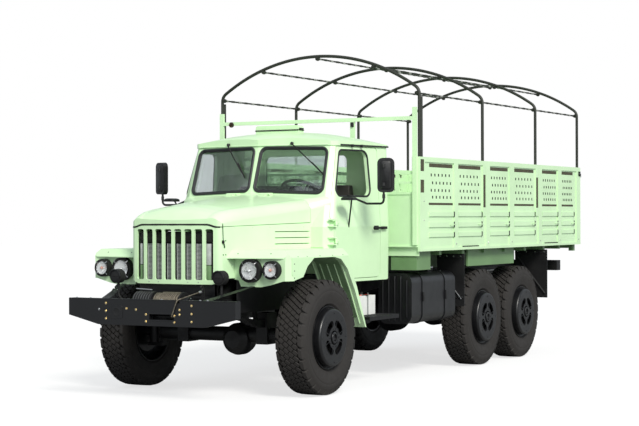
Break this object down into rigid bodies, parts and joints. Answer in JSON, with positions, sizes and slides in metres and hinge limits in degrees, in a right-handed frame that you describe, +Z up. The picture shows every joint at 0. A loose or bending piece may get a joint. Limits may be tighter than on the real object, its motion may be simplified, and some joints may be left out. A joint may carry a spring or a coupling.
{
  "type": "six-wheel-drive bonneted cargo truck",
  "caption": "Bonneted six-wheel-drive cargo truck with a high-sided steel bed, cover hoops, steering, opening doors, hood and tailgate.",
  "frame": {"origin": "bottom centre of the whole truck, on the ground", "axes": "+Z up; the truck faces -Y; +X is the truck's left"},
  "size_m": [2.8448, 8.0054, 3.4518],
  "materials": {
    "green_paint": "semi-gloss pale mint green paint",
    "black_paint": "satin black chassis paint",
    "grey_metal": "dark grey engine and drive-line metal",
    "dark_tube": "dark olive painted tube",
    "tyre": "worn matt rubber",
    "glass": "clear flat glass",
    "trim": "dark matt trim",
    "seat_cover": "dark artificial leather",
    "battery_case": "off-white plastic case",
    "wire_rope": "greased steel wire rope",
    "rubber": "black rubber sheet"
  },
  "bodies": {
    "chassis": {"battery": "battery_case", "bed_base": "green_paint", "bed_sides": "green_paint", "cab_shell": "green_paint", "cross_members": "black_paint", "dashboard": "trim", "engine": "grey_metal", "engine_sides": "green_paint", "exhaust": "black_paint", "fender_left": "green_paint", "fender_right": "green_paint", "frame_rails": "black_paint", "front_axle": "black_paint", "front_bumper": "black_paint", "fuel_tank": "black_paint", "gearbox": "grey_metal", "glass_panes": "glass", "grille_shell": "green_paint", "headboard": "green_paint", "hoop_rails": "dark_tube", "hoops": "dark_tube", "lamps": "green_paint", "leaf_springs": "black_paint", "mudflaps": "rubber", "propshafts": "black_paint", "radiator": "grey_metal", "rear_axles": "black_paint", "rear_bar": "green_paint", "roof_vent": "green_paint", "seats": "seat_cover", "steps": "black_paint", "tool_box": "green_paint", "winch": "black_paint", "winch_rope": "wire_rope"},
    "knuckle_left": {"knuckle_left": "black_paint"},
    "knuckle_right": {"knuckle_right": "black_paint"},
    "track_rod": {"track_rod": "black_paint"},
    "steering_wheel": {"steering_wheel": "trim"},
    "road_wheel_front_left": {"tyre_front_left": "tyre", "wheel_front_left": "black_paint"},
    "road_wheel_front_right": {"tyre_front_right": "tyre", "wheel_front_right": "black_paint"},
    "road_wheel_middle_left": {"tyre_middle_left": "tyre", "wheel_middle_left": "black_paint"},
    "road_wheel_middle_right": {"tyre_middle_right": "tyre", "wheel_middle_right": "black_paint"},
    "road_wheel_rear_left": {"tyre_rear_left": "tyre", "wheel_rear_left": "black_paint"},
    "road_wheel_rear_right": {"tyre_rear_right": "tyre", "wheel_rear_right": "black_paint"},
    "door_left": {"door_left": "green_paint", "mirrors_left": "black_paint"},
    "door_right": {"door_right": "green_paint", "mirrors_right": "black_paint"},
    "hood": {"hood": "green_paint"},
    "tailgate": {"tailgate": "green_paint"}
  },
  "joints": [
    {"name": "steer_left", "type": "hinge", "parent": "chassis", "child": "knuckle_left", "pos_m": [0.86, -2.657, 0.551], "axis": [0, 0, 1], "range_deg": [-30, 30]},
    {"name": "steer_right", "type": "hinge", "parent": "chassis", "child": "knuckle_right", "pos_m": [-0.86, -2.657, 0.551], "axis": [0, 0, 1], "range_deg": [-30, 30]},
    {"name": "track_rod_turn", "type": "hinge", "parent": "knuckle_left", "child": "track_rod", "pos_m": [0.81, -2.377, 0.491], "axis": [0, 0, 1], "range_deg": [-30, 30]},
    {"name": "steering_wheel_turn", "type": "hinge", "parent": "chassis", "child": "steering_wheel", "pos_m": [0.34, -1.727, 1.94], "axis": [0, 0.5708, 0.8211], "range_deg": [-540, 540]},
    {"name": "roll_front_left", "type": "hinge", "parent": "knuckle_left", "child": "road_wheel_front_left", "pos_m": [1.005, -2.657, 0.551], "axis": [1, 0, 0], "continuous": true},
    {"name": "roll_front_right", "type": "hinge", "parent": "knuckle_right", "child": "road_wheel_front_right", "pos_m": [-1.005, -2.657, 0.551], "axis": [1, 0, 0], "continuous": true},
    {"name": "roll_middle_left", "type": "hinge", "parent": "chassis", "child": "road_wheel_middle_left", "pos_m": [1.005, 1.03, 0.551], "axis": [1, 0, 0], "continuous": true},
    {"name": "roll_middle_right", "type": "hinge", "parent": "chassis", "child": "road_wheel_middle_right", "pos_m": [-1.005, 1.03, 0.551], "axis": [1, 0, 0], "continuous": true},
    {"name": "roll_rear_left", "type": "hinge", "parent": "chassis", "child": "road_wheel_rear_left", "pos_m": [1.005, 2.21, 0.551], "axis": [1, 0, 0], "continuous": true},
    {"name": "roll_rear_right", "type": "hinge", "parent": "chassis", "child": "road_wheel_rear_right", "pos_m": [-1.005, 2.21, 0.551], "axis": [1, 0, 0], "continuous": true},
    {"name": "door_left_swing", "type": "hinge", "parent": "chassis", "child": "door_left", "pos_m": [0.958, -2.16, 1.55], "axis": [0, 0, -1], "range_deg": [0, 68]},
    {"name": "door_right_swing", "type": "hinge", "parent": "chassis", "child": "door_right", "pos_m": [-0.958, -2.16, 1.55], "axis": [0, 0, 1], "range_deg": [0, 68]},
    {"name": "hood_lift", "type": "hinge", "parent": "chassis", "child": "hood", "pos_m": [0, -2.25, 1.928], "axis": [-1, 0, 0], "range_deg": [0, 50]},
    {"name": "tailgate_drop", "type": "hinge", "parent": "chassis", "child": "tailgate", "pos_m": [0, 3.987, 1.357], "axis": [-1, 0, 0], "range_deg": [0, 175]}
  ],
  "couplings": [
    {"joint": "steer_right", "follows": "steer_left", "ratio": 1},
    {"joint": "track_rod_turn", "follows": "steer_left", "ratio": -1},
    {"joint": "steering_wheel_turn", "follows": "steer_left", "ratio": 18}
  ]
}
